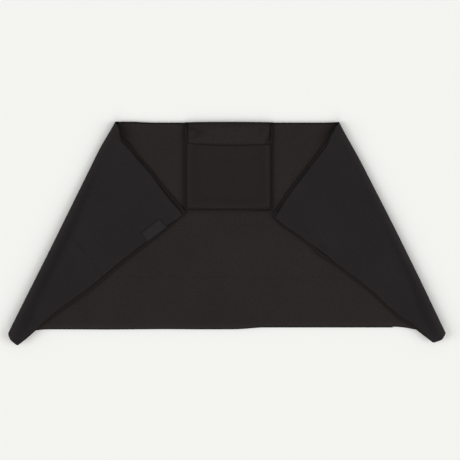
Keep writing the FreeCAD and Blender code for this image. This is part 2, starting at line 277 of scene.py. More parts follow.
def middle_faces(x, v, side):
    """Heights of the back ply and of the front ply between the two folds."""
    edge = nearest(v - top_line(x, side, 0), bottom_line(x, side, 0) - v)
    low = Plan.seam_low - (Plan.seam_low - Plan.table_ply) * pillow(edge, 5)
    high = Plan.seam_high + (Plan.front_ply - Plan.seam_high) * pillow(edge, 4.5)
    beside_pocket = 0.9 * hump(x, 89, 4.5) * (1 - smooth(v, 165, 176))
    return low, high - beside_pocket


def quarter_creases(v, width):
    """Old creases a quarter of the bag's depth apart, from how it lay folded in its packet, as a share."""
    quarter = Plan.middle_depth / 4
    return sum(hump(v, quarter * k, width) for k in (1, 2, 3))


def dents(x, v, side):
    """Small hollows left by fingers behind a hem."""
    total = np.zeros_like(x)
    for at_x, at_v, depth in LAID[side]["dents"]:
        total = total + depth * hump(x, at_x, 6) * hump(v, at_v, 10)
    return total


def end_lift(x, v, side, past):
    """How far a folded end stands off the front of the bag: at its top corner and in waves of its hem."""
    out = x - Plan.fold_top
    corner = 5.5 * hump(out, 30, 27) * hump(v, -4, 42) * smooth(past, 0, 16)
    edge = mouth_line(v, side, 0) - x
    return corner + lie(LAID[side]["mouth_wave"], v) * hump(edge, 2, 14)


def lower_face(x, v, side):
    """Height of the lower ply of a folded end: flat, with a low soft ridge along its hem."""
    past, _ = fold_place(x, v)
    edge = hem_distance(x, v, side, 0, past)
    pressed = LAID[side]["rest"] * hump(v, 38, 24)
    ridge = (0.35 + 0.65 * pillow(edge, 2.4)) * (1 - smooth(edge, 5, 13)) * (1 - pressed)
    ridge_height = 2.3
    return Plan.folded_ply + ridge_height * ridge + end_lift(x, v, side, past)


def upper_face(x, v, side, hold=0.0):
    """Height of the upper ply of a folded end: round hems, a roll along the fold and a valley beside it."""
    past, along = fold_place(x, v)
    edge = np.maximum(hem_distance(x, v, side, 1, past), hold)
    roll = (0.5 + 1.8 * smooth(along, 60, 330)) * hump(past, 5, 7)
    depth = 0.7 + 2.7 * smooth(along, *LAID[side]["valley_grows"]) + 1.3 * hump(along, 30, 30)
    depth = depth * (1 - smooth(along, 440, 472))
    valley = depth * hump(past, valley_line(along, side), 6.5) + 1.1 * dents(x, v, side)
    sway = 0.6 * ripple(x * SIGNS[side], v, 11 + SIGNS[side]) * smooth(past, 20, 60)
    hem_drop = 3.3 * (1 - pillow(edge, 4))
    return Plan.face - hem_drop + roll - valley + sway + end_lift(x, v, side, past)


def front_light_and_shade(x, v, side):
    """Painted light and shade on the front's cloth: painted shade at its edges, in its creases, round the
    pocket, under an end's lifted corner and along the open hems, and painted light near its bottom edge.
    """
    past, _ = fold_place(x, v)
    from_top, from_bottom = v - top_line(x, side, 0), bottom_line(x, side, 0) - v
    # painted shade along the top and bottom edges, where the cloth turns away from the light
    top_seam = 0.62 * (1 - smooth(from_top, 1.5, 4.2))
    bottom_seam = 0.65 * (1 - smooth(from_bottom, 0.8, 3.0))
    # painted light in a band near the bottom edge
    bottom_edge_light = 0.15 * (1 - smooth(from_bottom, 4, 15))
    half = box_mm("pocket_back")[1][0]
    foot = Plan.top - box_mm("pocket_back")[0][1]
    # painted shade beside, below and round the pocket
    beside_pocket = smooth(x, half - 1, half + 1) * (1 - smooth(x, half + 1.5, half + 11))
    beside_pocket = 0.38 * beside_pocket * (1 - smooth(v, foot, foot + 4))
    below_pocket = smooth(v, foot - 1, foot + 0.5) * (1 - smooth(v, foot + 2.5, foot + 5))
    below_pocket = 0.6 * below_pocket * (1 - smooth(x, half, half + 3))
    round_pocket = 0.14 * (1 - smooth(x, half + 2, half + 20)) * (1 - smooth(v, foot + 4, foot + 15))
    # painted shadow under the lifted top corner of the folded end
    from_corner = (Plan.fold_top - x) * math.sin(2 * Plan.angle) - v * math.cos(2 * Plan.angle)
    in_corner = 0.34 * hump(from_corner, 2, 13) * hump(v, 10, 26)
    # painted shade in the old creases, then the pocket's and the corner's painted shade
    painted_shading = 1 - top_seam - bottom_seam + bottom_edge_light - 0.06 * quarter_creases(v, 1.4)
    painted_shading = painted_shading - beside_pocket - below_pocket - round_pocket - in_corner
    # where the front shows beyond a folded end's upper ply: a strip of painted shade with a painted
    # highlight on its ridge
    rim = rim_distance(x, v, side, 0)
    hem = 0.5 + 0.24 * hump(rim, 2.6, 1.2) + 0.5 * smooth(rim, 8, 13)
    return np.where(past > 9, hem, np.clip(painted_shading, 0.3, 1.2))


def back_light_and_shade(x, v, side):
    """Painted light and shade on the back's cloth: a painted highlight on the fold's roll, and painted
    shade in its valley, at its hems and in its creases and dents.
    """
    past, along = fold_place(x, v)
    laid = LAID[side]
    # painted highlight on the fold's roll
    roll_highlight = (0.49 + laid["roll_highlight"] * smooth(along, 60, 130)) * (1 - smooth(past, -2, 15))
    roll_highlight = roll_highlight * smooth(past, -18, -8) + 0.07 * smooth(along, 425, 465)
    grown = (0.2 + 0.8 * smooth(along, *laid["valley_grows"])) * (1 - smooth(along, 440, 475))
    # painted shade in the valley beside the roll
    valley = laid["valley_shade"] * hump(past, valley_line(along, side) + 2, 9) * grown
    # painted shade at the hems
    hem = 0.45 * (1 - smooth(hem_distance(x, v, side, 1, past), 0.6, 2.4))
    # painted shade in the sharp crease, the old creases and the dents
    sharp_crease = laid["crease_shade"] * hump(v, Plan.middle_depth / 2, 1.6) * smooth(past, 0, 10)
    crease_and_dent_shade = 0.04 * quarter_creases(v, 1.4) + sharp_crease + 0.12 * dents(x, v, side)
    return 1 + roll_highlight - valley - hem - crease_and_dent_shade


def settle(x, y, z, side):
    """The way the laid bag departs from its pattern: how far each fold bulges outward."""
    below = Plan.top - y
    outside = (x - Plan.fold_top) * Plan.cos - below * Plan.sin
    reach = 60 - 38 * smooth(below, 300, 420)
    bulge = lie(LAID[side]["fold_out"], below) * smooth(outside, -reach, -4)
    return np.stack([SIGNS[side] * (x + bulge), y, z], axis=-1)


def fold_cloth(x, v, side, stack, raised=0.0):
    """Places flat cloth on the folded bag.

    A point runs under the fold's axis, round it and back over the front. Stack is its place between
    the back ply, 0, and the front ply, 1. Raised moves it off its face, away from the other ply.
    """
    past, along = fold_place(x, v)
    low, high = middle_faces(x, v, side)
    under = low + (high - low) * stack - raised
    if stack == 1.0:
        # the front only sinks, so that it stays clear of the ends' turn
        under = under - 0.1 * (1 - np.clip(ripple(x * SIGNS[side], v, 3), -1, 1))
    over = upper_face(x, v, side) * (1 - stack) + lower_face(x, v, side) * stack + raised
    turn = np.clip((past + Plan.roll) / (2 * Plan.roll), 0, 1) * math.pi
    height = (under + over) / 2 - (over - under) / 2 * np.cos(turn)
    outer_bend, inner_bend = Plan.roll - 0.4, 0.7
    bend = outer_bend * (1 - stack) + inner_bend * stack
    out = np.where(np.abs(past) < Plan.roll, -Plan.roll + bend * np.sin(turn), -np.abs(past))
    world_x = Plan.fold_top + out * Plan.cos + along * Plan.sin
    world_y = Plan.top + out * Plan.sin - along * Plan.cos
    return settle(world_x, world_y, height, side)


def on_end(x, v, side, above):
    """Points on a folded end, lying on the face of its upper ply, with its hem's roundness bridged."""
    points = fold_cloth(x, v, side, 0.0)
    points[..., 2] = upper_face(x, v, side, hold=4.0) + above
    return points


# ------------------------------------------------------------------ mesh helpers


EDGE_ROWS = np.array([0, 0.5, 1.1, 1.9, 2.9, 4.2, 6.0, 8.5, 12.0])


def spaced(start, stop, step, extra=()):
    """Even steps from start to stop, both kept, with the extra values put in."""
    inner = np.linspace(start, stop, max(2, round((stop - start) / step) + 1))[1:-1]
    inner = [value for value in inner if all(abs(value - e) > step * 0.35 for e in extra)]
    return np.array(sorted({start, stop, *inner, *(e for e in extra if start < e < stop)}))


def graded(start, stop, step, extra=()):
    """Even steps with closer ones at both ends, where cloth turns round an edge."""
    ends = [start + d for d in EDGE_ROWS[1:]] + [stop - d for d in EDGE_ROWS[1:]]
    return spaced(start, stop, step, (*ends, *extra))


def new_object(name, vertices, faces, material, painted_shading=1.0):
    """A smooth-shaded mesh object from points in millimetres.

    The factor given for each point is painted light and shade. Painted shade darkens seams, hems, creases,
    hollows and the cloth round the pocket, and a painted highlight lightens the folds' rolls.
    """
    mesh = bpy.data.meshes.new(name)
    mesh.from_pydata((np.asarray(vertices) * MM).tolist(), [], faces)
    values = np.broadcast_to(painted_shading, (len(vertices),)).astype(np.float32)
    mesh.attributes.new("painted_shading", "FLOAT", "POINT").data.foreach_set("value", values)
    mesh.materials.append(material)
    piece = bpy.data.objects.new(name, mesh)
    bpy.context.collection.objects.link(piece)
    finish_mesh(piece)
    return piece


def thicken(piece, thickness):
    """Gives cloth its thickness, half to each side, as mesh."""
    solid = piece.modifiers.new("Cloth thickness", "SOLIDIFY")
    solid.thickness = thickness * MM
    solid.offset = 0
    graph = bpy.context.evaluated_depsgraph_get()
    mesh = bpy.data.meshes.new_from_object(piece.evaluated_get(graph))
    piece.modifiers.clear()
    piece.data = mesh
    finish_mesh(piece)


def finish_mesh(piece):
    """Turns every face outward, drops loose points and shades smooth, with cut edges kept sharp."""
    work = bmesh.new()
    work.from_mesh(piece.data)
    bmesh.ops.recalc_face_normals(work, faces=work.faces)
    loose = [vertex for vertex in work.verts if not vertex.link_faces]
    bmesh.ops.delete(work, geom=loose, context="VERTS")
    work.to_mesh(piece.data)
    work.free()
    piece.data.shade_smooth()
    piece.data.set_sharp_from_angle(angle=math.radians(55))


def grid_faces(rows, columns, keep=None):
    """Quads of a grid of points stored row by row."""
    faces = []
    for row in range(rows - 1):
        for column in range(columns - 1):
            if keep is None or keep[row, column]:
                first = row * columns + column
                faces.append((first, first + 1, first + columns + 1, first + columns))
    return faces


def sheet_piece(name, points, thickness, material, keep=None, painted_shading=1.0):
    """A sheet of cloth from a grid of points, with its own thickness."""
    rows, columns = points.shape[:2]
    painted_shading = np.broadcast_to(painted_shading, (rows, columns)).reshape(-1)
    piece = new_object(name, points.reshape(-1, 3), grid_faces(rows, columns, keep), material, painted_shading)
    thicken(piece, thickness)
    return piece


def tube_faces(rings, sides, first=0, capped=True):
    """Faces of a tube whose rings of points follow one another, with its ends closed."""
    faces = []
    for ring in range(rings - 1):
        for side in range(sides):
            a = first + ring * sides + side
            b = first + ring * sides + (side + 1) % sides
            faces.append((a, b, b + sides, a + sides))
    if capped:
        faces.append(tuple(first + side for side in reversed(range(sides))))
        faces.append(tuple(first + (rings - 1) * sides + side for side in range(sides)))
    return faces


def thread(centre, up, radii, sides):
    """Rings of points round a short line of points, for one stitch or one stretch of coil."""
    ahead = np.gradient(centre, axis=0)
    ahead /= np.linalg.norm(ahead, axis=1)[:, None]
    across = np.cross(ahead, up)
    across /= np.linalg.norm(across, axis=1)[:, None]
    over = np.cross(across, ahead)
    turns = 2 * math.pi * np.arange(sides) / sides
    ring = across[:, None] * np.cos(turns)[None, :, None] + over[:, None] * np.sin(turns)[None, :, None]
    return (centre[:, None] + ring * radii[:, None, None]).reshape(-1, 3)


def sew(name, path, body, pitch=3.2, length=2.4, radius=0.24, down=False):
    """A row of short threads along a path of points, each dipping into the cloth at its ends."""
    rings, sides = 5, 6
    travelled = np.concatenate([[0], np.cumsum(np.linalg.norm(np.diff(path, axis=0), axis=1))])
    bow = np.sin(np.linspace(0, math.pi, rings))
    up = np.tile([0.0, 0.0, -1.0 if down else 1.0], (rings, 1))
    vertices, faces = [], []
    for start in np.arange(pitch / 2, travelled[-1] - length, pitch):
        spots = np.linspace(start, start + length, rings)
        centre = np.stack([np.interp(spots, travelled, path[:, k]) for k in range(3)], axis=-1)
        centre = centre + up * (radius * (bow - 0.6))[:, None]
        faces += tube_faces(rings, sides, first=len(vertices))
        vertices += list(thread(centre, up, radius * (0.4 + 0.6 * bow), sides))
    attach(new_object(name, vertices, faces, finish("thread")), body)


def level_seam(low_x, high_x, y, z):
    """A straight seam along the bag's length, as points."""
    line = spaced(low_x, high_x, 3.0)
    return np.stack([line, 0 * line + y, 0 * line + z], axis=-1)


# ------------------------------------------------------------------ materials


def linear(hex_colour):
    """An sRGB hex colour as linear red, green, blue and alpha."""
    parts = [int(hex_colour[k : k + 2], 16) / 255 for k in (1, 3, 5)]
    return (*[p / 12.92 if p <= 0.04045 else ((p + 0.055) / 1.055) ** 2.4 for p in parts], 1.0)


def add_node(tree, kind, settings=(), values=(), links=()):
    """One shader node with its settings, its sockets' values and its incoming links."""
    node = tree.nodes.new(kind)
    for key, value in dict(settings).items():
        setattr(node, key, value)
    for key, value in dict(values).items():
        node.inputs[key].default_value = value
    for key, source in dict(links).items():
        tree.links.new(source, node.inputs[key])
    return node


def new_material(name, colour, values):
    """A named material with its Principled shader's own sockets set."""
    material = bpy.data.materials.new(name)
    material.use_nodes = True
    shader = material.node_tree.nodes["Principled BSDF"]
    shader.inputs["Base Color"].default_value = colour
    for key, value in values.items():
        shader.inputs[key].default_value = value
    return material, material.node_tree, shader


# the scale at which a texture's features are one metre across
UNIT_SCALES = {"ShaderNodeTexNoise": 0.5, "ShaderNodeTexWave": 2 * math.pi / 20}


def pattern(tree, kind, size_mm, settings=(), values=(), turn=0.0):
    """A pattern of spots or ribs of a real size, laid on the object itself, as a factor."""
    place = add_node(tree, "ShaderNodeTexCoord").outputs["Object"]
    if turn:
        rotation = {"Rotation": (0, 0, turn)}
        place = add_node(tree, "ShaderNodeMapping", (), rotation, {"Vector": place}).outputs["Vector"]
    values = {"Scale": UNIT_SCALES[kind] / (size_mm * MM), **dict(values)}
    return add_node(tree, kind, settings, values, {"Vector": place}).outputs["Fac"]


def surface(tree, shader, shade, colour, amount, relief=None, with_painted_shading=True):
    """Colours a surface by a pattern, darker where it is low, and lets a height pattern shade it.

    Cloth also takes painted light and shade, a factor stored on its points. Relief is the height pattern,
    its strength and its depth in millimetres.
    """
    ramp = add_node(tree, "ShaderNodeValToRGB", links={"Fac": shade})
    for stop, position, change in zip(ramp.color_ramp.elements, (0.25, 0.75), (-amount, amount)):
        stop.position = position
        stop.color = (*[part * (1 + change) for part in colour[:3]], 1)
    painted = ramp.outputs["Color"]
    # scales the colour by the painted light and shade stored on the cloth's points
    if with_painted_shading:
        painted_shading = add_node(tree, "ShaderNodeAttribute", {"attribute_name": "painted_shading"}).outputs["Fac"]
        links = {"Vector": painted, "Scale": painted_shading}
        scale = {"operation": "SCALE"}
        painted = add_node(tree, "ShaderNodeVectorMath", scale, links=links).outputs["Vector"]
    tree.links.new(painted, shader.inputs["Base Color"])
    if relief:
        height, strength, depth_mm = relief
        values = {"Strength": strength, "Distance": depth_mm * MM}
        bump = add_node(tree, "ShaderNodeBump", values=values, links={"Height": height})
        tree.links.new(bump.outputs["Normal"], shader.inputs["Normal"])


def brushed_jersey(name, colour):
    """Polyester jersey, knitted and brushed: its raised fibres take away the gloss and soften every edge.
    """
    values = {"Roughness": 0.95, "IOR": 1.45, "Specular IOR Level": 0.1}
    values |= {"Sheen Weight": 0.05, "Sheen Roughness": 0.6, "Sheen Tint": linear("#B0A49C")}
    material, tree, shader = new_material(name, colour, values)
    # the brushed fibres lie in tufts of about 0.5 mm, drawn at 1.8 mm so that they still show
    tufts = pattern(tree, "ShaderNodeTexNoise", 1.8)
    links = {"A": tufts, "B": pattern(tree, "ShaderNodeTexNoise", 60.0)}
    shade = add_node(tree, "ShaderNodeMix", values={"Factor": 0.35}, links=links).outputs["Result"]
    surface(tree, shader, shade, colour, 0.22, (tufts, 0.3, 0.35))
    return material


def bias_weave(name, colour):
    """Polyester woven and cut on the bias: two sets of ribs at 45 degrees, so the face is cross-hatched."""
    values = {"Roughness": 0.9, "IOR": 1.45, "Specular IOR Level": 0.12}
    values |= {"Sheen Weight": 0.04, "Sheen Roughness": 0.5}
    material, tree, shader = new_material(name, colour, values)
    # ribs 0.9 mm apart in the cloth, drawn 3.8 mm apart so that they still show
    pitch_mm = 3.8
    uneven = {"Distortion": 0.5, "Detail": 1.0, "Detail Scale": 2.0}
    links = {}
    for socket, turn in (("A", math.radians(45)), ("B", math.radians(-45))):
        links[socket] = pattern(tree, "ShaderNodeTexWave", pitch_mm, values=uneven, turn=turn)
    cross = add_node(tree, "ShaderNodeMix", values={"Factor": 0.5}, links=links).outputs["Result"]
    links = {"A": cross, "B": pattern(tree, "ShaderNodeTexNoise", 2.2)}
    shade = add_node(tree, "ShaderNodeMix", values={"Factor": 0.4}, links=links).outputs["Result"]
    surface(tree, shader, shade, colour, 0.2, (cross, 0.4, 0.3))
    return material


def coated_lining(name, colour):
    """Nylon coated on one face against light: smoother and a little glossier than the shell."""
    values = {"Roughness": 0.5, "IOR": 1.5, "Specular IOR Level": 0.3}
    material, tree, shader = new_material(name, colour, values)
    grain = pattern(tree, "ShaderNodeTexNoise", 1.4)
    surface(tree, shader, grain, colour, 0.15, (grain, 0.2, 0.2))
    return material


def ribbed_tape(name, colour, pitch_mm, roughness=0.75, direction="X", level=0.25):
    """Narrow woven tape: ribs run across it, so light breaks into fine lines."""
    values = {"Roughness": roughness, "Specular IOR Level": level}
    material, tree, shader = new_material(name, colour, values)
    ribs = pattern(tree, "ShaderNodeTexWave", pitch_mm, {"bands_direction": direction})
    links = {"A": ribs, "B": pattern(tree, "ShaderNodeTexNoise", 2.5)}
    shade = add_node(tree, "ShaderNodeMix", values={"Factor": 0.5}, links=links).outputs["Result"]
    surface(tree, shader, shade, colour, 0.25, (ribs, 0.4, 0.2))
    return material


def spun_thread(name, colour):
    """Polyester sewing thread, spun: matt, with fine light and dark fibres."""
    material, tree, shader = new_material(name, colour, {"Roughness": 0.85, "Specular IOR Level": 0.15})
    fibres = pattern(tree, "ShaderNodeTexNoise", 0.6)
    surface(tree, shader, fibres, colour, 0.25, (fibres, 0.3, 0.1), with_painted_shading=False)
    return material


def drawn_nylon(name, colour):
    """Nylon monofilament, drawn and set in a coil: smooth, with a soft highlight on each turn."""
    material, tree, shader = new_material(name, colour, {"Roughness": 0.35, "IOR": 1.53})
    surface(tree, shader, pattern(tree, "ShaderNodeTexNoise", 4.0), colour, 0.15, with_painted_shading=False)
    return material


def enamelled_zinc(name, colour):
    """Zinc, die-cast and dipped in baked enamel: an even dark skin, with a little wear where it rubs."""
    material, tree, shader = new_material(name, colour, {"Roughness": 0.4, "IOR": 1.5, "Coat Weight": 0.1})
    wear = pattern(tree, "ShaderNodeTexNoise", 1.5, values={"Detail": 3.0})
    surface(tree, shader, wear, colour, 0.3, (wear, 0.1, 0.05), with_painted_shading=False)
    return material


# what each finish is made by, its material's name, its colour's name, and what else its maker takes
MAKERS = {
    "shell": (brushed_jersey, "Brushed polyester jersey", "shell"),
    "end": (brushed_jersey, "Brushed polyester jersey of the back", "shell_back"),
    "pocket": (bias_weave, "Polyester cloth woven on the bias", "pocket"),
    "lining": (coated_lining, "Coated nylon lining", "lining"),
    "label": (ribbed_tape, "Woven satin label", "label", 1.6, 0.7, "X", 0.12),
    "tape": (ribbed_tape, "Woven polyester zip tape", "trim", 1.2),
    "binding": (ribbed_tape, "Woven binding tape", "trim", 1.6),
    "elastic": (ribbed_tape, "Knitted elastic", "trim", 1.8, 0.8, "Y"),
    "thread": (spun_thread, "Spun polyester thread", "thread"),
    "coil": (drawn_nylon, "Drawn nylon coil", "coil"),
    "metal": (enamelled_zinc, "Enamelled zinc casting", "metal"),
}
FINISHES = {}


def finish(key):
    """One of the bag's materials, made when it is first asked for."""
    if key not in FINISHES:
        maker, name, colour, *more = MAKERS[key]
        FINISHES[key] = maker(name, tuple(getattr(bpy.context.scene.bag_colours, colour)), *more)
    return FINISHES[key]


# ------------------------------------------------------------------ cloth in halves

STACKS = {"back_shell": 0.0, "back_lining": 0.46, "front_lining": 0.89, "front_shell": 1.0}
THICKNESS = {layer: np.ptp([corner[2] for corner in box_mm(f"middle_{layer}")]) for layer in STACKS}


def slot_column(step):
    """The column of the cloth's grid where a zip's slot ends."""
    return round(Plan.slot_end / step)


def half_grid(side, ply, inset, step, travel):
    """Flat cloth coordinates of a half: rows from the top edge down, columns from the middle to the mouth.

    Columns are straight as far as the zips reach, and then turn to run along the fold.
    """
    shares, about_depth = travel[None, :] / Plan.middle_depth, 400
    guess = Plan.fold_top + shares * about_depth * Plan.slope
    fold_v = shares * bottom_line(guess, side, ply)
    fold = Plan.fold_top + fold_v * Plan.slope
    end = mouth_line(fold_v, side, ply) - inset
    # lengths of cloth, from which each stretch takes its number of columns
    beside, middle_run, fold_run, end_run, rim_run = 10.0, 150, 64, 200, 45
    rim = np.minimum(1, (end - fold - beside) / rim_run)
    inner = end - EDGE_ROWS[-1] * rim
    middle_share = np.linspace(0, 1, round(middle_run / step))[1:-1, None]
    end_share = np.linspace(0, 1, round(end_run / step))[1:-1, None]
    columns = [
        np.linspace(0, Plan.slot_end, slot_column(step) + 1)[:, None] + 0 * fold,
        Plan.slot_end + middle_share * (fold - beside - Plan.slot_end),
        fold + np.linspace(-beside, beside, round(fold_run / step) + 2)[:, None],
        fold + beside + (inner - fold - beside) * end_share,
        end - EDGE_ROWS[::-1][:, None] * rim,
    ]
    x = np.concatenate(columns)
    start = top_line(x, side, ply) + inset
    stop = bottom_line(x, side, ply) - inset
    return x, start + (stop - start) * np.broadcast_to(shares, x.shape)


def cloth_half(side, layer, material, slot_node=None):
    """Half of one layer: from the middle, round the fold and over the front to the open end.
    """
    sizes = bpy.context.scene.bag_sizes
    outer = layer in ("front_shell", "back_shell")
    ply = 0 if "front" in layer else 1
    inset = 0.0 if outer else sizes.lining_inset / MM
    step = (sizes.cloth_step if outer else 2 * sizes.cloth_step) / MM
    quarter = Plan.middle_depth / 4
    rows = [quarter * k + shift for k in (1, 2, 3) for shift in (-3, -1.5, 0, 1.5, 3)] if outer else []
    if slot_node:
        lower, upper = box_mm(slot_node.format("lower")), box_mm(slot_node.format("upper"))
        slot_v = Plan.top - (lower[0][1] + upper[1][1]) / 2
        slot_rows = slot_v + sizes.slot_width / MM / 2 * np.array([-1.4, -1, 1, 1.4])
        rows = [row for row in rows if not slot_rows[0] - 2 < row < slot_rows[-1] + 2]
        rows += list(slot_rows)
    travel = graded(0, Plan.middle_depth, step, rows)
    x, v = half_grid(side, ply, inset, step, travel)
    keep = None
    if slot_node:
        places = [int(np.argmin(np.abs(travel - row))) for row in slot_rows]
        last = slot_column(step)
        v[: last + 3, places] = slot_rows
        keep = np.ones((len(x) - 1, len(travel) - 1), dtype=bool)
        keep[:last, places[1] : places[2]] = False
    points = fold_cloth(x, v, side, STACKS[layer])
    painted_shading = 1.0
    if outer:
        past, _ = fold_place(x, v)
        on_top = 1.0 if ply else 1 - smooth(past, -8, 0)
        points[..., 2] -= 0.3 * quarter_creases(v, 1.3) * on_top
        points[..., 2] = np.maximum(points[..., 2], Plan.table_ply)
        painted_shading = back_light_and_shade(x, v, side) if ply else front_light_and_shade(x, v, side)
    piece = sheet_piece(f"{side}_{layer}", points, THICKNESS[layer], finish(material), keep, painted_shading)
    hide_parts(f"middle_{layer}", f"{side}_end_{layer}")
    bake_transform(piece)
    return piece


def make_shell():
    """The outer cloth, back and front, in halves that meet at the middle."""
    for side in SIGNS:
        back = cloth_half(side, "back_shell", "end", "outer_zip_{}_tape")
        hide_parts(f"{side}_fold_roll")
        cloth_half(side, "front_shell", "shell")


def make_lining():
    """The two linings between the shells, in halves like the shell."""
    for side in SIGNS:
        cloth_half(side, "back_lining", "lining", "inner_zip_{}_tape")
        cloth_half(side, "front_lining", "lining")


# ------------------------------------------------------------------ ends


def make_hems():
    """The doubled strip inside each open end, and the stitches that hold it."""
    width, thickness = 11.0, 0.6
    for side in SIGNS:
        v, depth = np.meshgrid(spaced(4, Plan.mouth - 20, 4.0), spaced(1.0, width, 1.6), indexing="ij")
        points = fold_cloth(mouth_line(v, side, 1) - depth, v, side, 0.0, raised=-0.85)
        facing = sheet_piece(f"{side}_hem_facing", points, thickness, finish("end"))
        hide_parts(f"{side}_end_hem")
        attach(facing, f"{side}_end")
        line = spaced(8, Plan.mouth - 26, 3.0)
        seam = fold_cloth(mouth_line(line, side, 1) - width + 1.5, line, side, 0.0, raised=-1.2)
        sew(f"{side}_hem_stitches", seam, f"{side}_end", down=True)


def label_droop(depth):
    """How the label's edge at the hem droops over it."""
    return -1.3 * (1 - smooth(depth, 0, 7)) ** 2


def make_label():
    """The bare woven label on the left hem, with its border and the stitches at its short ends."""
    low, high = box_mm("woven_label")
    along, width, inset, thickness, rise, thread_rise = 49.2, 23.4, 0.8, 0.4, 0.65, 0.95
    corner = (Plan.corner_in - Plan.fold_top, Plan.top - Plan.corner_in * math.tan(2 * Plan.angle))
    down = np.hypot(*((low + high)[:2] / 2 - corner))
    first = math.sqrt(down**2 - (inset + width / 2) ** 2) - along / 2 - 2.7
    v, depth = np.meshgrid(graded(0, along, 2.5), graded(0, width, 2.5), indexing="ij")
    edge = nearest(v, along - v, depth, width - depth)
    border = 0.22 * pillow(edge, 0.8) - 0.22 * hump(edge, 1.7, 0.35) - 0.05 * smooth(edge, 1.9, 2.4)
    points = on_end(Plan.half_length - inset - depth, first + v, "left", rise)
    points[..., 2] += border + label_droop(depth)
    # painted shade along the border's groove and at the label's rim
    painted_shading = 1 - 0.5 * hump(edge, 1.7, 0.8) - 0.4 * (1 - smooth(edge, 0.2, 1.4))
    label = sheet_piece("woven_label_bare", points, thickness, finish("label"), painted_shading=painted_shading)
    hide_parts("woven_label")
    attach(label, "left_end")
    for name, place in (("near", 1.0), ("far", along - 1.0)):
        line = spaced(1.6, width - 1.2, 1.0)
        seam = on_end(Plan.half_length - inset - line, first + place + 0 * line, "left", thread_rise)
        seam[:, 2] += label_droop(line)
        sew(f"label_stitches_{name}", seam, "left_end", pitch=2.2, length=1.6, radius=0.2)


def sleeve_points(side, depth, turn, width, share):
    """Points of a flattened tube inside an end: depth from the mouth, turn round the tube."""
    middle, set_back, pleat_pitch, height = 110.0, 14.0, 9.0, 0.69
    gather = smooth(depth, 30, 100)
    v = middle + (width / 2 - 5.0 * gather) * np.cos(turn)
    flat = np.sign(np.sin(turn)) * np.abs(np.sin(turn)) ** 0.5
    pleat = 0.03 * gather * np.sin(v * 2 * math.pi / pleat_pitch)
    stack = (height + share * flat + pleat)[..., None]
    x = Plan.half_length - set_back - depth
    return fold_cloth(x, v, side, 0.0) * (1 - stack) + fold_cloth(x, v, side, 1.0) * stack


def make_sleeves():
    """The arm sleeve inside each end and the ribbed elastic round its cuff."""
    width, deep, cuff, rib_pitch, thickness = 150.0, 110.0, 16.0, 3.2, 0.3
    parts = (
        ("sleeve", "sleeve", "lining", "lining_cloth", 0.0, 0.09),
        ("cuff", "cuff_elastic", "elastic", "elastic_band", deep - cuff, 0.13),
    )
    turns = np.linspace(0, 2 * math.pi, 121)[:-1]
    for side in SIGNS:
        for part, node, material, slot, start, share in parts:
            depth, turn = np.meshgrid(spaced(start, deep, 4.0), turns, indexing="ij")
            points = sleeve_points(side, depth, turn, width + (part == "cuff"), share)
            if part == "cuff":
                ribs = 0.12 * np.sin(depth * 2 * math.pi / rib_pitch - math.pi / 2)
                points[..., 2] += ribs * np.sign(-np.sin(turn))
            faces = tube_faces(*depth.shape, capped=False)
            tube = new_object(f"{side}_arm_{part}", points.reshape(-1, 3), faces, finish(material))
            thicken(tube, thickness)
            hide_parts(f"{side}_{node}")
            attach(tube, f"{side}_end")


# ------------------------------------------------------------------ pocket

# place x and y, turn in degrees, length, width and depth of each pull, in mm
PULLS = (
    (-70, 210, -22, 17, 4.0, 1.8),
    (-62, 198, 30, 18, 4.5, 1.1),
    (77, 190, 75, 15, 3.5, 1.9),
    (66, 206, 60, 10, 3.5, 0.9),
    (-10, 214, 2, 60, 2.6, 0.5),
)
POCKET_CLOTH = 0.6


def pocket_pulls(x, y):
    """Small pulls in the cloth at the pocket's upper corners."""
    total = np.zeros_like(x)
    for place_x, place_y, turn, length, width, depth in PULLS:
        cos, sin = math.cos(math.radians(turn)), math.sin(math.radians(turn))
        along = (x - place_x) * cos + (y - place_y) * sin
        across = (y - place_y) * cos - (x - place_x) * sin
        total += depth * hump(along, 0, length) * hump(across, 0, width)
    return total


def pocket_mouth(x):
    """How the pocket's mouth sags between its ends."""
    share = x / box_mm("pocket_back")[1][0]
    return box_mm("pocket_front")[1][1] - 4.6 + 3.75 * share**2 - 1.25 * share * np.abs(share)


